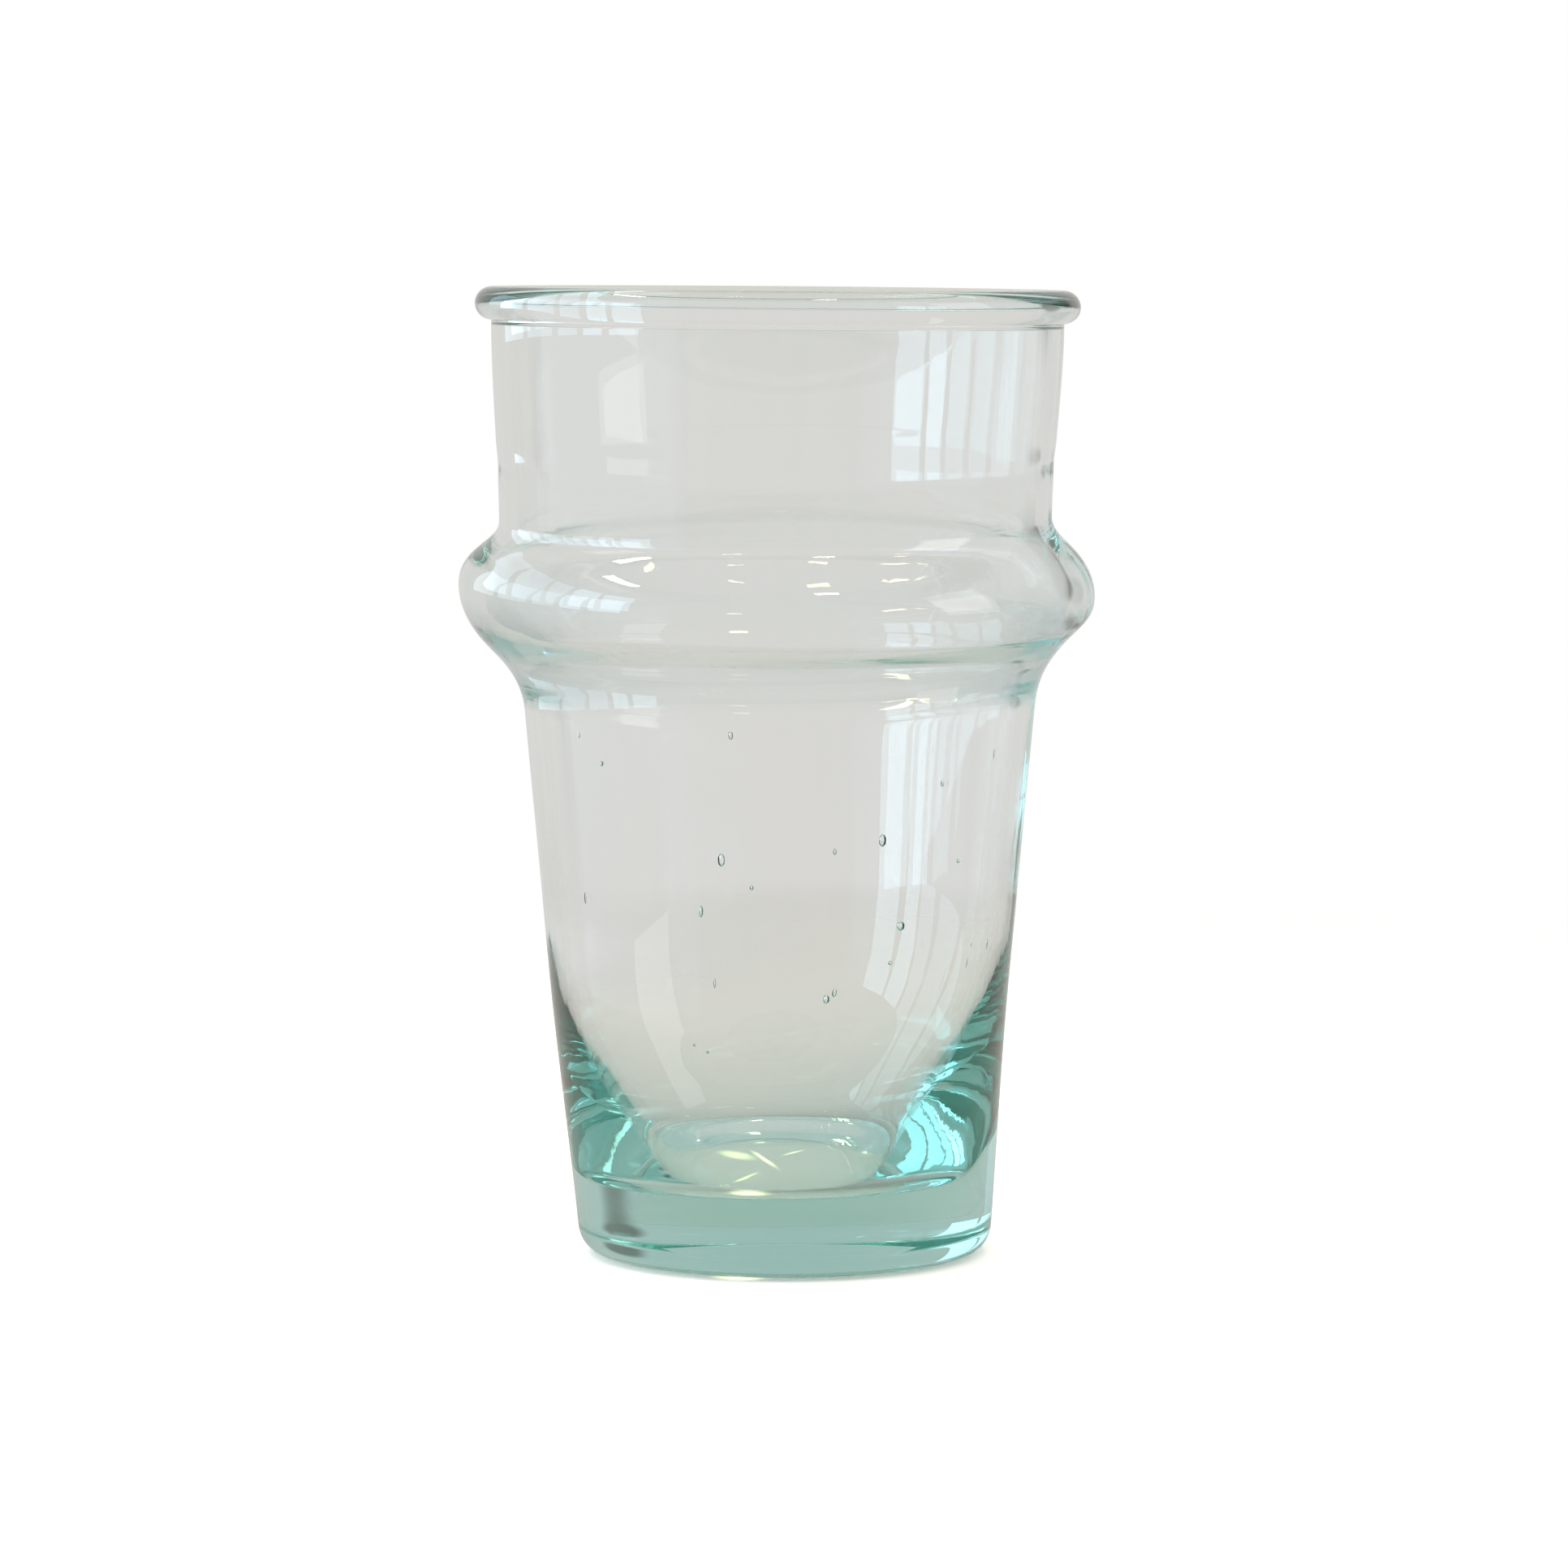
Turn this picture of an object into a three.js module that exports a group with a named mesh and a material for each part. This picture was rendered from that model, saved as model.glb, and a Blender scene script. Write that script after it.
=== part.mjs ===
// A hand-blown water glass of recycled glass: a thick foot, a rounded bowl, a tapered
// lower wall, a bulge to grip, a slightly flared upper wall and a rolled rim.
// The glass is one continuous body. Its zones are separate solids that meet face to
// face on level planes, stacked along +Z from the table at z = 0. Millimetres.
import * as THREE from "three";

// Heights, from the table up
const HEIGHT = 120;
const FOOT_HEIGHT = 9.5; // solid glass under the lowest point of the bowl
const BOWL_HEIGHT = 34.5; // from the floor to where the wall becomes even
const LOWER_WALL_HEIGHT = 24; // from there to the waist under the bulge
const BULGE_RISE = 14.8; // from the waist up to the crest of the bulge
const BULGE_FALL = 8.8; // from the crest up to the neck
const RIM_HEIGHT = 4.1; // the rolled rim, top to bottom

// Outside radii, from the table up
const FOOT_RADIUS = 25.5; // where the tapered side would meet the table
const WAIST_RADIUS = 31.6; // under the bulge
const CREST_RADIUS = 39.4; // the widest point of the glass
const NECK_RADIUS = 34.2; // over the bulge
const MOUTH_RADIUS = 35.35; // under the rim
const RIM_OVERHANG = 2.05; // how far the rolled rim stands out past the wall

// Thickness of the glass
const LOWER_WALL = 1.9;
const CREST_WALL = 3;
const NECK_WALL = 2.2;
const MOUTH_WALL = 2.2;

// The foot stands on a flat ring around a hollow
const STANDING_RADIUS = 22.4; // outer edge of the ring
const STANDING_RING_WIDTH = 3;
const HEEL_HEIGHT = 3.4; // rounding between the standing ring and the side
const HOLLOW_DEPTH = 2.5;

// The bowl inside: a flat floor that turns up into a knee of thick wall, and on to the even wall
const FLOOR_FLAT_RADIUS = 13;
const KNEE_HEIGHT = 5; // of the knee over the floor
const KNEE_WALL = 6.8; // thickness of the wall at the knee
const KNEE_SLOPE = 0.48; // how fast the inside widens with height at the knee
const FLOOR_SWEEP = 4.5; // how far the floor runs out before it turns up
const KNEE_SWEEP_DOWN = 5; // how far the wall runs straight on under the knee
const KNEE_SWEEP_UP = 13; // and over it
const BOWL_WALL_SWEEP = 12; // how far the even wall runs down before it turns in

// How far each flank of the bulge keeps the direction that it starts or ends with
const WAIST_SWEEP = 8;
const CREST_SWEEP_DOWN = 5.8;
const INSIDE_WAIST_LIFT = 4.2; // the inside turns out later, which leaves thick glass there
const INSIDE_WAIST_SWEEP = 6.5;
const INSIDE_CREST_SWEEP = 5;
const CREST_SWEEP_UP = 5;
const NECK_SWEEP = 3;

// Facets around the axis and steps along each kind of curve
const SEGMENTS = 60;
const HOLLOW_STEPS = 4;
const HEEL_STEPS = 5;
const BOWL_STEPS = 6;
const FLANK_STEPS = 7;
const FLARE_STEPS = 4;
const BEAD_STEPS = 14;

// Pale aqua glass with a fire-polished surface
const GLASS_COLOUR = 0xd3ece6;
const GLASS_ROUGHNESS = 0.04;
const GLASS_OPACITY = 0.4;

// The rolled rim is an oval bead whose inner side is flush with the wall
const BEAD_HALF_WIDTH = (MOUTH_WALL + RIM_OVERHANG) / 2;
const BEAD_RADIUS = MOUTH_RADIUS + RIM_OVERHANG - BEAD_HALF_WIDTH;
const BEAD_Z = HEIGHT - RIM_HEIGHT / 2;
const BEAD_START = -Math.acos((MOUTH_RADIUS - BEAD_RADIUS) / BEAD_HALF_WIDTH);

// Levels of the planes where the zones meet
const FLOOR_Z = FOOT_HEIGHT;
const BOWL_TOP_Z = FLOOR_Z + BOWL_HEIGHT;
const WAIST_Z = BOWL_TOP_Z + LOWER_WALL_HEIGHT;
const CREST_Z = WAIST_Z + BULGE_RISE;
const NECK_Z = CREST_Z + BULGE_FALL;
const MOUTH_Z = BEAD_Z + (RIM_HEIGHT / 2) * Math.sin(BEAD_START);

const at = (radius, z) => new THREE.Vector2(radius, z);

// The straight tapered side, from the table to the waist, and the even wall inside it
const SIDE_SLOPE = (WAIST_RADIUS - FOOT_RADIUS) / WAIST_Z;
const outsideAt = (z) => at(FOOT_RADIUS + SIDE_SLOPE * z, z);
const insideAt = (z) => at(FOOT_RADIUS + SIDE_SLOPE * z - LOWER_WALL, z);

// Revolves an outline of radius and height about +Z. The outline runs anticlockwise,
// and either starts and ends on the axis or comes back to its first point.
function revolve(name, outline) {
  const points = outline.filter((p, i) => i === 0 || !p.equals(outline[i - 1]));
  const geometry = new THREE.LatheGeometry(points, SEGMENTS);
  geometry.rotateX(Math.PI / 2);
  const material = new THREE.MeshStandardMaterial({
    color: GLASS_COLOUR,
    roughness: GLASS_ROUGHNESS,
    metalness: 0,
    transparent: true,
    opacity: GLASS_OPACITY,
  });
  const mesh = new THREE.Mesh(geometry, material);
  mesh.name = name;
  return mesh;
}

// Revolves an outside and an inside line, both listed from the bottom up, as a ring.
function ring(name, outside, inside) {
  return revolve(name, [...outside, ...inside.reverse(), outside[0]]);
}

// Foot: a solid slab with a hollow underneath and a rounded heel.
function foot() {
  const hollowRadius = STANDING_RADIUS - STANDING_RING_WIDTH;
  const hollow = new THREE.QuadraticBezierCurve(
    at(0, HOLLOW_DEPTH),
    at(hollowRadius / 2, HOLLOW_DEPTH),
    at(hollowRadius, 0),
  );
  const heel = new THREE.QuadraticBezierCurve(
    at(STANDING_RADIUS, 0),
    at(FOOT_RADIUS, 0),
    outsideAt(HEEL_HEIGHT),
  );
  return revolve("foot", [
    ...hollow.getPoints(HOLLOW_STEPS),
    ...heel.getPoints(HEEL_STEPS),
    outsideAt(FLOOR_Z),
    at(0, FLOOR_Z),
  ]);
}

// Bowl: straight outside, with the floor turning up over the knee into the even wall inside.
function bowl() {
  const kneeZ = FLOOR_Z + KNEE_HEIGHT;
  const knee = at(outsideAt(kneeZ).x - KNEE_WALL, kneeZ);
  const alongKnee = (sweep) => at(KNEE_SLOPE * sweep, sweep);
  const floor = new THREE.CubicBezierCurve(
    at(FLOOR_FLAT_RADIUS, FLOOR_Z),
    at(FLOOR_FLAT_RADIUS + FLOOR_SWEEP, FLOOR_Z),
    knee.clone().sub(alongKnee(KNEE_SWEEP_DOWN)),
    knee,
  );
  const wall = new THREE.CubicBezierCurve(
    knee,
    knee.clone().add(alongKnee(KNEE_SWEEP_UP)),
    insideAt(BOWL_TOP_Z - BOWL_WALL_SWEEP),
    insideAt(BOWL_TOP_Z),
  );
  const outside = [outsideAt(FLOOR_Z), outsideAt(BOWL_TOP_Z)];
  const inside = [...floor.getPoints(BOWL_STEPS), ...wall.getPoints(BOWL_STEPS)];
  return ring("bowl", outside, inside);
}

// Lower wall: an even tapered wall from the bowl to the waist.
function lowerWall() {
  const outside = [outsideAt(BOWL_TOP_Z), outsideAt(WAIST_Z)];
  const inside = [insideAt(BOWL_TOP_Z), insideAt(WAIST_Z)];
  return ring("lower_wall", outside, inside);
}

// Underside of the bulge: swells out from the waist to the crest.
function bulgeUnderside() {
  const line = (start, waistSweep, crest, crestSweep) =>
    new THREE.CubicBezierCurve(
      start,
      at(start.x + SIDE_SLOPE * waistSweep, start.y + waistSweep),
      at(crest, CREST_Z - crestSweep),
      at(crest, CREST_Z),
    ).getPoints(FLANK_STEPS);
  const outside = line(outsideAt(WAIST_Z), WAIST_SWEEP, CREST_RADIUS, CREST_SWEEP_DOWN);
  const insideTurn = insideAt(WAIST_Z + INSIDE_WAIST_LIFT);
  const inside = [
    insideAt(WAIST_Z),
    ...line(insideTurn, INSIDE_WAIST_SWEEP, CREST_RADIUS - CREST_WALL, INSIDE_CREST_SWEEP),
  ];
  return ring("bulge_underside", outside, inside);
}

// Shoulder of the bulge: comes back in from the crest to the neck.
function bulgeShoulder() {
  const line = (crest, neck) =>
    new THREE.CubicBezierCurve(
      at(crest, CREST_Z),
      at(crest, CREST_Z + CREST_SWEEP_UP),
      at(neck, NECK_Z - NECK_SWEEP),
      at(neck, NECK_Z),
    ).getPoints(FLANK_STEPS);
  const outside = line(CREST_RADIUS, NECK_RADIUS);
  const inside = line(CREST_RADIUS - CREST_WALL, NECK_RADIUS - NECK_WALL);
  return ring("bulge_shoulder", outside, inside);
}

// Upper wall: nearly upright at the neck, flaring a little towards the rim.
function upperWall() {
  const line = (neck, mouth) =>
    new THREE.QuadraticBezierCurve(
      at(neck, NECK_Z),
      at(neck, (NECK_Z + MOUTH_Z) / 2),
      at(mouth, MOUTH_Z),
    ).getPoints(FLARE_STEPS);
  const outside = line(NECK_RADIUS, MOUTH_RADIUS);
  const inside = line(NECK_RADIUS - NECK_WALL, MOUTH_RADIUS - MOUTH_WALL);
  return ring("upper_wall", outside, inside);
}

// Rim: an oval bead rolled outwards on the edge of the wall.
function rim() {
  const bead = new THREE.EllipseCurve(
    BEAD_RADIUS,
    BEAD_Z,
    BEAD_HALF_WIDTH,
    RIM_HEIGHT / 2,
    BEAD_START,
    Math.PI,
  );
  return ring("rim", bead.getPoints(BEAD_STEPS), [at(MOUTH_RADIUS - MOUTH_WALL, MOUTH_Z)]);
}

const glass = new THREE.Group();
glass.name = "water_glass";
glass.add(
  foot(),
  bowl(),
  lowerWall(),
  bulgeUnderside(),
  bulgeShoulder(),
  upperWall(),
  rim(),
);

export default glass;
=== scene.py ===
# A hand-blown water glass of pale aqua recycled glass, standing empty on a pale table.
import math
import random
import bmesh
import bpy
from mathutils import Matrix, Vector, geometry, noise


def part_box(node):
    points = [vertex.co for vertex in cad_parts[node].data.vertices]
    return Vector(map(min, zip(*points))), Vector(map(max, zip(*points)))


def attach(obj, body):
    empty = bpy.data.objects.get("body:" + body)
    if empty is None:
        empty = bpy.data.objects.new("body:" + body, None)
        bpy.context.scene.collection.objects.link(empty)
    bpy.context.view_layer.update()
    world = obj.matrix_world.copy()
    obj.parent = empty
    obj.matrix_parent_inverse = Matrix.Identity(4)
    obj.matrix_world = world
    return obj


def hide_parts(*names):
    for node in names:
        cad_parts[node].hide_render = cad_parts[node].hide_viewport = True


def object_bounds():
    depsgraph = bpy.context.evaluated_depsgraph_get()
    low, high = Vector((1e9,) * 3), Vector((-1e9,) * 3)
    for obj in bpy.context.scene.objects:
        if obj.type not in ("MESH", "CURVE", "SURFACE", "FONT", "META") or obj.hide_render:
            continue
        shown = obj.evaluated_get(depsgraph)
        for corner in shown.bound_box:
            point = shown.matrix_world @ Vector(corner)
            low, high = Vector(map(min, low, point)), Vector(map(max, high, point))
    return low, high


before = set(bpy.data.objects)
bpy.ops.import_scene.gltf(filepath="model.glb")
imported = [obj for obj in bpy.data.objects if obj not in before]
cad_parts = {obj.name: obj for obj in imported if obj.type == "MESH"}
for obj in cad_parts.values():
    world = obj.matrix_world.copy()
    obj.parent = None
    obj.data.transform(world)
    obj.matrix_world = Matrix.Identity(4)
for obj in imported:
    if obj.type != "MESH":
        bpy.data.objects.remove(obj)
cad_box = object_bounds()

# The blown glass: one gather of recycled glass, blown, pulled in at the waist and neck with
# the jacks, and fire-polished at the rim. Its foot is thick and its wall thin, and like all
# hand-blown glass it leans a little and its inside is slightly wavy.
MM = 0.001
foot_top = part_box("foot")[1]
bowl_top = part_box("bowl")[1]
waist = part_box("lower_wall")[1]
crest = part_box("bulge_underside")[1]
neck_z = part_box("bulge_shoulder")[1].z
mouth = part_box("upper_wall")[1]
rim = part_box("rim")[1]
neck_radius = 34.2 * MM
side_slope = (waist.x - foot_top.x) / (waist.z - foot_top.z)
lower_wall = 1.9 * MM
crest_wall = 3 * MM
neck_wall = 2.2 * MM
mouth_wall = neck_wall
standing_radius = 22.4 * MM
ring_width = 3 * MM
hollow_radius = standing_radius - ring_width
hollow_depth = 2.5 * MM
heel_height = 3.4 * MM
heel_roundness = 0.6
floor_flat_radius = 13 * MM
floor_sweep = 4.5 * MM
knee_lift = 5 * MM
knee_z = foot_top.z + knee_lift
knee_wall = 6.8 * MM
knee_slope = 0.48
knee_drop = 5 * MM
knee_rise = 13 * MM
bowl_wall_sweep = 12 * MM
waist_sweep = 8 * MM
inside_waist_lift = 4.2 * MM
inside_waist_sweep = 6.5 * MM
crest_sweep_down = 5.8 * MM
inside_crest_sweep = 5 * MM
crest_sweep_up = 5 * MM
neck_sweep = 3 * MM
inside_crest_sweep_up = 3.6 * MM
inside_neck_sweep = 3.8 * MM
flare_sweep = 7.5 * MM
bead_start = math.radians(-80)

# Steps along each stretch of the outline, and around the axis
hollow_steps = 10
ring_steps = 4
heel_steps = 12
side_steps = 34
rise_steps = 30
fall_steps = 26
flare_steps = 36
bead_steps = 30
floor_steps = 5
knee_steps = 26
bowl_wall_steps = 24
lower_wall_steps = 14
steps_around = 240


def at(radius, z):
    return Vector((radius, 0, z))


def side(z, depth=0):
    """A point on the tapered side, or at a depth under it."""
    return at(waist.x - side_slope * (waist.z - z) - depth, z)


def curve(start, start_handle, end_handle, end, steps):
    return geometry.interpolate_bezier(start, start_handle, end_handle, end, steps + 1)


def line(start, end, steps):
    return [start.lerp(end, i / steps) for i in range(steps + 1)]


def bulge(waist_depth, lift, sweep, crest_sweep, crest_depth, shoulder_sweep, neck_curl, neck_depth):
    """The line of the bulge and the flare over it, from the waist up to the mouth."""
    waist_point = side(waist.z + lift, waist_depth)
    crest_point = at(crest.x - crest_depth, crest.z)
    neck_point = at(neck_radius - neck_depth, neck_z)
    mouth_point = at(mouth.x - neck_depth, mouth.z)
    up = at(0, 1)
    rise = curve(waist_point, side(waist.z + lift + sweep, waist_depth),
                 crest_point - up * crest_sweep, crest_point, rise_steps)
    fall = curve(crest_point, crest_point + up * shoulder_sweep,
                 neck_point - up * neck_curl, neck_point, fall_steps)
    flare = curve(neck_point, neck_point + up * flare_sweep,
                  mouth_point - up * flare_sweep, mouth_point, flare_steps)
    return rise + fall + flare


bead_half_height = (rim.z - mouth.z) / (1 - math.sin(bead_start))
bead_half_width = (rim.x - mouth.x + mouth_wall) / 2
bead_centre = at(rim.x - bead_half_width, rim.z - bead_half_height)
roll = []
for step in range(bead_steps + 1):
    turn = bead_start + (math.pi - bead_start) * step / bead_steps
    roll.append(bead_centre + at(bead_half_width * math.cos(turn), bead_half_height * math.sin(turn)))
hollow_top = at(0, hollow_depth)
hollow_edge = at(hollow_radius, 0)
hollow_sweep = hollow_radius * 2 / 3
heel_start = at(standing_radius, 0)
heel_end = side(heel_height)
heel_corner = side(0)
outside = curve(hollow_top, at(hollow_sweep, hollow_depth), at(hollow_sweep, hollow_depth / 3),
                hollow_edge, hollow_steps)
outside += line(hollow_edge, heel_start, ring_steps)
outside += curve(heel_start, heel_start.lerp(heel_corner, heel_roundness),
                 heel_end.lerp(heel_corner, heel_roundness), heel_end, heel_steps)
outside += line(heel_end, side(waist.z), side_steps)
outside += bulge(0, 0, waist_sweep, crest_sweep_down, 0, crest_sweep_up, neck_sweep, 0)
outside += roll
floor_edge = at(floor_flat_radius, foot_top.z)
knee = side(knee_z, knee_wall)
along_knee = at(knee_slope, 1)
wall_start = side(bowl_top.z, lower_wall)
inside = line(at(0, foot_top.z), floor_edge, floor_steps)
inside += curve(floor_edge, at(floor_flat_radius + floor_sweep, foot_top.z),
                knee - along_knee * knee_drop, knee, knee_steps)
inside += curve(knee, knee + along_knee * knee_rise,
                side(bowl_top.z - bowl_wall_sweep, lower_wall), wall_start, bowl_wall_steps)
inside += line(wall_start, side(waist.z + inside_waist_lift, lower_wall), lower_wall_steps)
inside += bulge(lower_wall, inside_waist_lift, inside_waist_sweep, inside_crest_sweep,
                crest_wall, inside_crest_sweep_up, inside_neck_sweep, neck_wall)

merge_distance = 0.01 * MM
glass_mesh = bmesh.new()
inner = glass_mesh.verts.layers.float.new("inner")
outline = [glass_mesh.verts.new(point) for point in outside]
lining = [glass_mesh.verts.new(point) for point in reversed(inside)]
for vert in lining:
    vert[inner] = 1
profile = outline + lining
edges = [glass_mesh.edges.new(pair) for pair in zip(profile, profile[1:])]
bmesh.ops.spin(glass_mesh, geom=profile + edges, cent=(0, 0, 0), axis=(0, 0, 1),
               angle=2 * math.pi, steps=steps_around, use_merge=True)
bmesh.ops.remove_doubles(glass_mesh, verts=glass_mesh.verts, dist=merge_distance)
bmesh.ops.recalc_face_normals(glass_mesh, faces=glass_mesh.faces)


def eased(z, stops):
    """The value at a height, eased from each (height, value) stop to the next."""
    value = stops[0][1]
    for (low, before), (high, after) in zip(stops, stops[1:]):
        share = min(max((z - low) / (high - low), 0), 1)
        value += (after - before) * share * share * (3 - 2 * share)
    return value


# Sideways lean, and how far the right side rises and the front drops at each level
lean = (
    (0, 1.0 * MM), (36 * MM, 0.3 * MM), (waist.z, 0.4 * MM),
    (crest.z, 0), (neck_z, -0.15 * MM), (rim.z, 0.1 * MM))
tilt = (
    (bowl_top.z, 0), (waist.z + waist_sweep, 0.012), (crest.z, -0.018),
    (neck_z, 0.006), (mouth.z, -0.008))
front_drop = ((bowl_top.z, 0), (waist.z, 0.02), (crest.z, 0.045), (neck_z, 0.05), (mouth.z, 0))
# The floor of the bowl sits a little to the left and towards the front
bowl_skew = ((knee_z, -1.2 * MM), (bowl_top.z, 0))
bowl_forward = ((knee_z, -2.6 * MM), (bowl_top.z, 0))
# Gentle waves on both sides of the wall, upright cords inside, and a crease around the upper wall
wave_length = 26 * MM
outside_wave = 0.10 * MM
inside_wave = 0.16 * MM
inside_wave_shift = Vector((0, 0, 3))
cord_width = 4 * MM
cord_length = 90 * MM
cord_depth = 0.025 * MM
crease_z = 98.7 * MM
crease_width = 1.5 * MM
crease_depth = 0.11 * MM

for vert in glass_mesh.verts:
    x, y, z = vert.co
    radius = math.hypot(x, y)
    if radius > 0:
        outward = Vector((x, y, 0)) / radius
        away = min(radius / waist.x, 1)
        wave = noise.noise(vert.co / wave_length + inside_wave_shift * vert[inner]) * away
        cord = noise.noise(Vector((x / cord_width, y / cord_width, z / cord_length))) * away
        depth = inside_wave * vert[inner] + outside_wave * (1 - vert[inner])
        clear_of_table = min(z / heel_height, 1)
        crease = crease_depth * math.exp(-((z - crease_z) / crease_width) ** 2) * (1 - vert[inner])
        vert.co += outward * (wave * depth + cord * cord_depth * vert[inner] - crease) * clear_of_table
    vert.co.x += eased(z, lean) + eased(z, bowl_skew) * vert[inner]
    vert.co.y += eased(z, bowl_forward) * vert[inner]
    vert.co.z += x * eased(z, tilt) + y * eased(z, front_drop)

# Seeds: small bubbles of air left in the wall, drawn out along it
seeds = [
    # height, degrees from the front, width, length
    (51.8 * MM, -13.7, 0.9 * MM, 1.7 * MM),
    (48.5 * MM, -6.6, 0.5 * MM, 0.7 * MM),
    (46.0 * MM, -54, 0.4 * MM, 1.5 * MM),
    (54.0 * MM, 24.5, 1.0 * MM, 1.6 * MM),
    (43.4 * MM, 30.5, 1.1 * MM, 1.2 * MM),
    (34.8 * MM, 11.6, 0.8 * MM, 1.2 * MM),
    (36.7 * MM, -16.0, 0.3 * MM, 1.2 * MM),
    (40.0 * MM, 62, 0.3 * MM, 1.2 * MM),
    (29.0 * MM, -22, 0.35 * MM, 0.4 * MM),
    (28.2 * MM, -18.5, 0.35 * MM, 0.4 * MM),
]
# More of them at the back, between a lowest and a highest value of each measure
back_seed_count = 12
back_heights = (28, 66)
back_degrees = (95, 265)
back_widths = (0.3, 0.8)
back_lengths = (0.5, 1.6)
scatter = random.Random(4)
for _ in range(back_seed_count):
    height = scatter.uniform(*back_heights) * MM
    degrees = scatter.uniform(*back_degrees)
    width = scatter.uniform(*back_widths) * MM
    length = scatter.uniform(*back_lengths) * MM
    seeds.append((height, degrees, width, length))
seed_thickness = 0.6 * MM
for height, degrees, width, length in seeds:
    middle = side(height, lower_wall / 2)
    turn = Matrix.Rotation(math.radians(degrees - 90), 4, "Z")
    stretch = Matrix.Diagonal((min(width, seed_thickness) / 2, width / 2, length / 2, 1))
    place = turn @ Matrix.Translation(middle) @ stretch
    place.translation.x += eased(height, lean)
    seed = bmesh.ops.create_icosphere(glass_mesh, subdivisions=2, radius=1, matrix=place)
    seed_faces = {face for vert in seed["verts"] for face in vert.link_faces}
    bmesh.ops.reverse_faces(glass_mesh, faces=list(seed_faces))

# The lean and waves are kept inside the size of the plain glass
reach = [max(abs(vert.co[axis]) for vert in glass_mesh.verts) for axis in range(3)]
fit = [min(cad_box[1][axis] / reach[axis], 1) for axis in range(3)]
bmesh.ops.scale(glass_mesh, vec=fit, verts=glass_mesh.verts)
for face in glass_mesh.faces:
    face.smooth = True
blown_glass = bpy.data.objects.new("blown_glass", bpy.data.meshes.new("blown_glass"))
glass_mesh.to_mesh(blown_glass.data)
glass_mesh.free()
bpy.context.collection.objects.link(blown_glass)


class Wire:
    """An output of a shader node. Arithmetic on wires adds Math nodes."""

    def __init__(self, tree, socket):
        self.tree = tree
        self.socket = socket

    @classmethod
    def node(cls, tree, kind, settings=None, inputs=None, output=0):
        """Adds a node, with its settings first and then the values or links of its sockets."""
        made = tree.nodes.new("ShaderNode" + kind)
        for name, value in (settings or {}).items():
            setattr(made, name, value)
        for key, value in (inputs or {}).items():
            if isinstance(value, Wire):
                tree.links.new(value.socket, made.inputs[key])
            else:
                made.inputs[key].default_value = value
        return cls(tree, made.outputs[output]) if made.outputs else None

    def math(self, operation, first, second):
        return Wire.node(self.tree, "Math", {"operation": operation}, {0: first, 1: second})

    def __add__(self, other):
        return self.math("ADD", self, other)

    def __mul__(self, other):
        return self.math("MULTIPLY", self, other)

    def __sub__(self, other):
        return self.math("SUBTRACT", self, other)

    def __rsub__(self, other):
        return self.math("SUBTRACT", other, self)

    __radd__ = __add__
    __rmul__ = __mul__


aqua = bpy.data.materials.new("aqua_glass")
aqua.use_nodes = True
tree = aqua.node_tree
tree.nodes.clear()
colours = {"data_type": "RGBA"}
smooth = {"interpolation_type": "SMOOTHSTEP"}
clear_tint = (1, 1, 1, 1)
cord_tint = (0.975, 0.99, 0.985, 1)
depth_colour = (0.28, 0.725, 0.675, 1)
depth_density = 24
glass_ior = 1.51
cord_stretch = (1, 1, 0.06)
cord_scale = 420
cord_detail = 2
ripple_scale = 70
ripple_detail = 1
noise_roughness = 0.4
cord_share = 0.4
bump_strength = 0.05
bump_distance = 0.4 * MM
flank_tint = (0.02, 0.2, 0.26, 1)
flank_fade = 4 * MM
place = Wire.node(tree, "TexCoord", output="Object")
stretched = Wire.node(tree, "Mapping", None, {"Vector": place, "Scale": cord_stretch})
cords = Wire.node(tree, "TexNoise", None, {
    "Vector": stretched, "Scale": cord_scale, "Detail": cord_detail, "Roughness": noise_roughness})
ripple = Wire.node(tree, "TexNoise", None, {
    "Vector": place, "Scale": ripple_scale, "Detail": ripple_detail, "Roughness": noise_roughness})
tint = Wire.node(tree, "Mix", colours, {0: cords, 6: clear_tint, 7: cord_tint}, 2)
# The glass gathers in the flank under the bulge, and is deeper in colour there where it is
# seen edge-on
height = Wire.node(tree, "SeparateXYZ", None, {0: place}, "Z")
edge_on = Wire.node(tree, "LayerWeight", None, {"Blend": 0.5}, "Facing")
over_waist = Wire.node(tree, "MapRange", smooth, {
    "Value": height, "From Min": waist.z, "From Max": waist.z + flank_fade})
near_crest = Wire.node(tree, "MapRange", smooth, {
    "Value": height, "From Min": crest.z - flank_fade, "From Max": crest.z})
flank = over_waist * (1 - near_crest) * edge_on * edge_on * edge_on
tint = Wire.node(tree, "Mix", colours, {0: flank, 6: tint, 7: flank_tint}, 2)
bump = Wire.node(tree, "Bump", None, {
    "Height": cords * cord_share + ripple, "Strength": bump_strength, "Distance": bump_distance})
glass_body = Wire.node(tree, "BsdfPrincipled", None, {
    "Base Color": tint, "Roughness": 0, "IOR": glass_ior, "Transmission Weight": 1, "Normal": bump})
absorption = Wire.node(tree, "VolumeAbsorption", None, {
    "Color": depth_colour, "Density": depth_density})
Wire.node(tree, "OutputMaterial", None, {"Surface": glass_body, "Volume": absorption})
blown_glass.data.materials.append(aqua)
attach(blown_glass, "root")
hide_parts("foot", "bowl", "lower_wall", "bulge_underside", "bulge_shoulder",
            "upper_wall", "rim")

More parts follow.
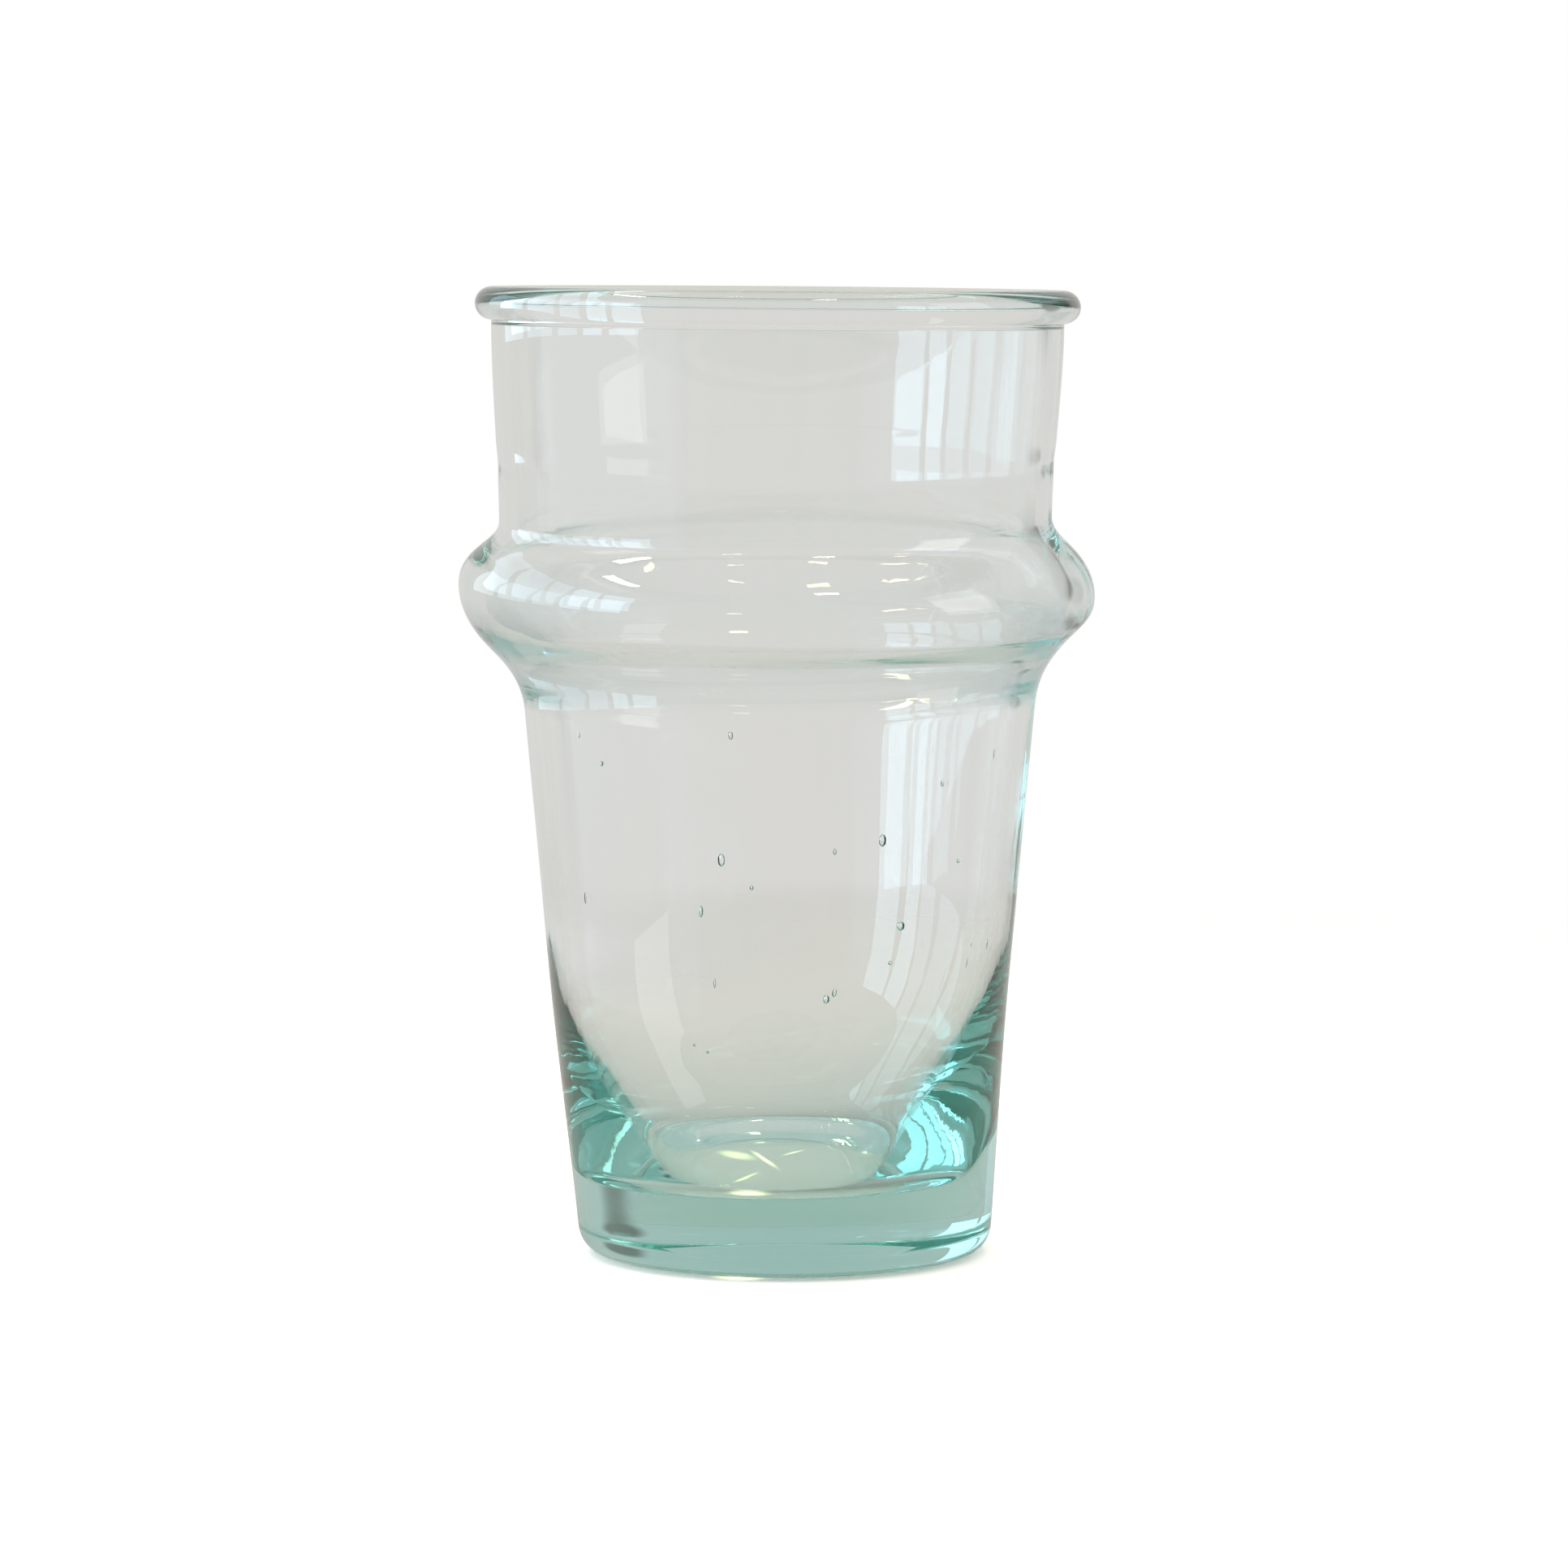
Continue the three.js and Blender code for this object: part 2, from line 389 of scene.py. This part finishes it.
# The table: a plain pale top that fades into the white of the studio, so that no edge of it
# shows through the glass. It is darker to the glass than to the camera, apart from under the
# foot, where a pale pool of light, a faint glow and warm caustic streaks are painted on it in
# place of the light that the glass gathers.
table_radius = 0.6
table_gap = 0.2 * MM
table_segments = 96
table_mesh = bmesh.new()
bmesh.ops.create_circle(table_mesh, cap_ends=True, segments=table_segments, radius=table_radius)
bmesh.ops.translate(table_mesh, vec=(0, 0, -table_gap), verts=table_mesh.verts)
table = bpy.data.objects.new("table", bpy.data.meshes.new("table"))
table_mesh.to_mesh(table.data)
table_mesh.free()
bpy.context.collection.objects.link(table)
table_top = bpy.data.materials.new("table_top")
table_top.use_nodes = True
tree = table_top.node_tree
tree.nodes.clear()
seen_white = (0.95, 0.95, 0.95, 1)
seen_in_glass = (0.42, 0.405, 0.39, 1)
# Painted light: the table under the foot is painted pale, as if lit by light that the glass gathers
painted_light_under_foot = (0.95, 0.92, 0.86, 1)
table_roughness = 0.9
table_specular = 0.1
fade_start = 0.06
fade_end = 0.45
no_light = (0, 0, 0, 1)
# Painted light: a faint glow under the foot and warm caustic streaks, emitted by the table top
painted_caustic_strength = 1.8
painted_glow_under_foot = (0.05, 0.045, 0.033, 1)
painted_warm_caustic = (1, 0.9, 0.45, 1)
painted_pale_caustic = (0.75, 0.8, 0.3, 1)
# Painted caustics: streaks of light that the glass would focus onto the table
painted_caustics = (
    # middle, degrees turned, half width and half length, colour
    ((-1.2 * MM, 2.5 * MM, 0), 24, (0.7 * MM, 6.5 * MM, 1), painted_warm_caustic),
    ((-5.5 * MM, 4 * MM, 0), 58, (2.4 * MM, 4.5 * MM, 1), painted_pale_caustic),
    ((-4 * MM, -6 * MM, 0), -35, (0.5 * MM, 4 * MM, 1), painted_pale_caustic),
    ((3.5 * MM, 6 * MM, 0), -50, (0.5 * MM, 3.5 * MM, 1), painted_pale_caustic),
    ((-4.2 * MM, -19.6 * MM, 0), 90, (4.5 * MM, 4.5 * MM, 1), painted_warm_caustic),
)
camera_ray = Wire.node(tree, "LightPath", output="Is Camera Ray")
place = Wire.node(tree, "TexCoord", output="Object")
distance = Wire.node(tree, "VectorMath", {"operation": "LENGTH"}, {0: place}, "Value")
past_painted_pool = Wire.node(tree, "MapRange", smooth, {
    "Value": distance, "From Min": hollow_radius, "From Max": foot_top.x})
# Painted light: pale under the foot, fading out to the plain table tone past the foot
in_glass = Wire.node(tree, "Mix", colours, {0: past_painted_pool, 6: painted_light_under_foot, 7: seen_in_glass}, 2)
top_colour = Wire.node(tree, "Mix", colours, {0: camera_ray, 6: in_glass, 7: seen_white}, 2)
# Painted light: the glow under the foot, with each painted caustic streak laid over it
painted_caustic_light = Wire.node(tree, "Mix", colours, {0: past_painted_pool, 6: painted_glow_under_foot, 7: no_light}, 2)
for middle, degrees, size, colour in painted_caustics:
    from_painted_caustic = Wire.node(tree, "Mapping", {"vector_type": "TEXTURE"}, {
        "Vector": place, "Location": middle, "Rotation": (0, 0, math.radians(degrees)), "Scale": size})
    off_middle = Wire.node(tree, "VectorMath", {"operation": "LENGTH"}, {0: from_painted_caustic}, "Value")
    painted_caustic_share = Wire.node(tree, "MapRange", smooth, {
        "Value": off_middle, "From Min": 0, "From Max": 1, "To Min": 1, "To Max": 0})
    painted_caustic_light = Wire.node(tree, "Mix", colours, {0: painted_caustic_share, 6: painted_caustic_light, 7: colour}, 2)
# The painted caustic light is given off by the table top as emission
top = Wire.node(tree, "BsdfPrincipled", None, {
    "Base Color": top_colour, "Roughness": table_roughness, "Specular IOR Level": table_specular,
    "Emission Color": painted_caustic_light, "Emission Strength": painted_caustic_strength})
fade = Wire.node(tree, "MapRange", smooth, {
    "Value": distance, "From Min": fade_start, "From Max": fade_end})
nothing = Wire.node(tree, "BsdfTransparent")
faded = Wire.node(tree, "MixShader", None, {0: fade, 1: top, 2: nothing})
Wire.node(tree, "OutputMaterial", None, {"Surface": faded})
table.data.materials.append(table_top)

# The studio: white behind the glass for the camera, pale grey where the glass shows it, with
# a dark corner low behind the glass to the right, and a brighter soft light on the table.
studio = bpy.data.worlds.new("studio")
studio.use_nodes = True
bpy.context.scene.world = studio
tree = studio.node_tree
tree.nodes.clear()
white = (1, 1, 1, 1)
pale_grey = (0.75, 0.705, 0.685, 1)
table_light = (1.5, 1.46, 1.4, 1)
dark_grey = (0.26, 0.24, 0.22, 1)
dark_side = math.radians(41)
dark_lift = math.radians(7)
dark_spread = math.radians(12)
camera_ray = Wire.node(tree, "LightPath", output="Is Camera Ray")
from_table = Wire.node(tree, "LightPath", output="Diffuse Depth")
around = Wire.node(tree, "Mix", colours, {0: from_table, 6: pale_grey, 7: table_light}, 2)
dark_way = (math.sin(dark_side) * math.cos(dark_lift), math.cos(dark_side) * math.cos(dark_lift),
            math.sin(dark_lift))
way = Wire.node(tree, "TexCoord", output="Generated")
off_dark = Wire.node(tree, "VectorMath", {"operation": "DISTANCE"}, {0: way, 1: dark_way}, "Value")
shade = Wire.node(tree, "MapRange", smooth, {
    "Value": off_dark, "From Min": dark_spread / 2, "From Max": dark_spread, "To Min": 1, "To Max": 0})
around = Wire.node(tree, "Mix", colours, {0: shade, 6: around, 7: dark_grey}, 2)
backdrop = Wire.node(tree, "Mix", colours, {0: camera_ray, 6: around, 7: white}, 2)
sky = Wire.node(tree, "Background", None, {"Color": backdrop, "Strength": 1})
Wire.node(tree, "OutputWorld", None, {"Surface": sky})

# The lights: a window of five panes to the left with the glow of the room around it, a weak
# fill to the right, and two small warm lamps up high.
light_aim = Vector((0, 0, 60 * MM))


def lamp(name, azimuth, elevation, distance, size, power, colour):
    """A rectangular lamp that faces the glass, turned from the front to the right and raised."""
    turn = math.radians(azimuth)
    lift = math.radians(elevation)
    way = Vector((math.cos(lift) * math.sin(turn), -math.cos(lift) * math.cos(turn), math.sin(lift)))
    data = bpy.data.lights.new(name, "AREA")
    data.shape = "RECTANGLE"
    data.size, data.size_y = size
    data.energy = power
    data.color = colour
    lamp_object = bpy.data.objects.new(name, data)
    lamp_object.location = light_aim + way * distance
    lamp_object.rotation_euler = (-way).to_track_quat("-Z", "Y").to_euler()
    bpy.context.collection.objects.link(lamp_object)


daylight = (0.62, 0.83, 1)
room_light = (0.45, 0.75, 1)
fill_light = (1, 0.98, 0.95)
warm_light = (1, 0.82, 0.5)
window_distance = 1.1
window_sill = 1
window_head = 26
window_middle = (window_sill + window_head) / 2
window_height = window_distance * math.radians(window_head - window_sill)
window_glow = 3.8
panes = (
    # start and end in degrees from the front to the left, share of the window's glow
    (56, 70, 1),
    (73, 83, 1),
    (86, 97, 0.5),
    (100, 118, 0.4),
    (121, 140, 0.35),
)
for near, far, share in panes:
    pane_width = window_distance * math.radians(far - near)
    pane_power = share * window_glow * math.pi * pane_width * window_height
    lamp(f"window_pane_{near}", azimuth=-(near + far) / 2, elevation=window_middle,
         distance=window_distance, size=(pane_width, window_height), power=pane_power, colour=daylight)
room_glow = 0.32
room_shape = 0.75
for breadth in (1.2, 1.6, 2.0):
    glow_height = breadth * room_shape
    glow_power = room_glow * math.pi * breadth * glow_height
    lamp(f"room_glow_{breadth}", azimuth=-78, elevation=5, distance=1.3,
         size=(breadth, glow_height), power=glow_power, colour=room_light)
lamp("fill", azimuth=75, elevation=20, distance=1.2, size=(0.5, 0.6), power=1.5, colour=fill_light)
lamp("warm_strip", azimuth=-97, elevation=60, distance=0.9, size=(0.3, 0.04), power=1.5, colour=warm_light)
lamp("warm_spot", azimuth=27, elevation=60, distance=0.9, size=(0.1, 0.05), power=0.7, colour=warm_light)

# The camera: a long lens a little above the glass, as in the photograph.
image_pixels = 1932
focal_pixels = 7764
camera_distance = 780 * MM
camera_height = 126 * MM
camera_aim = Vector((0.9 * MM, 0, 58.3 * MM))
camera_data = bpy.data.cameras.new("camera")
camera_data.sensor_width = 36
camera_data.lens = camera_data.sensor_width * focal_pixels / image_pixels
camera = bpy.data.objects.new("camera", camera_data)
camera.location = (0, -camera_distance, camera_height)
camera.rotation_euler = (camera_aim - camera.location).to_track_quat("-Z", "Y").to_euler()
bpy.context.collection.objects.link(camera)
scene = bpy.context.scene
scene.camera = camera
scene.view_settings.view_transform = "Standard"
# Light runs along inside the wall for many bounces before it leaves the glass
glass_bounces = 200
scene.cycles.max_bounces = glass_bounces
scene.cycles.transmission_bounces = glass_bounces
scene.cycles.glossy_bounces = glass_bounces
scene.cycles.transparent_max_bounces = 16
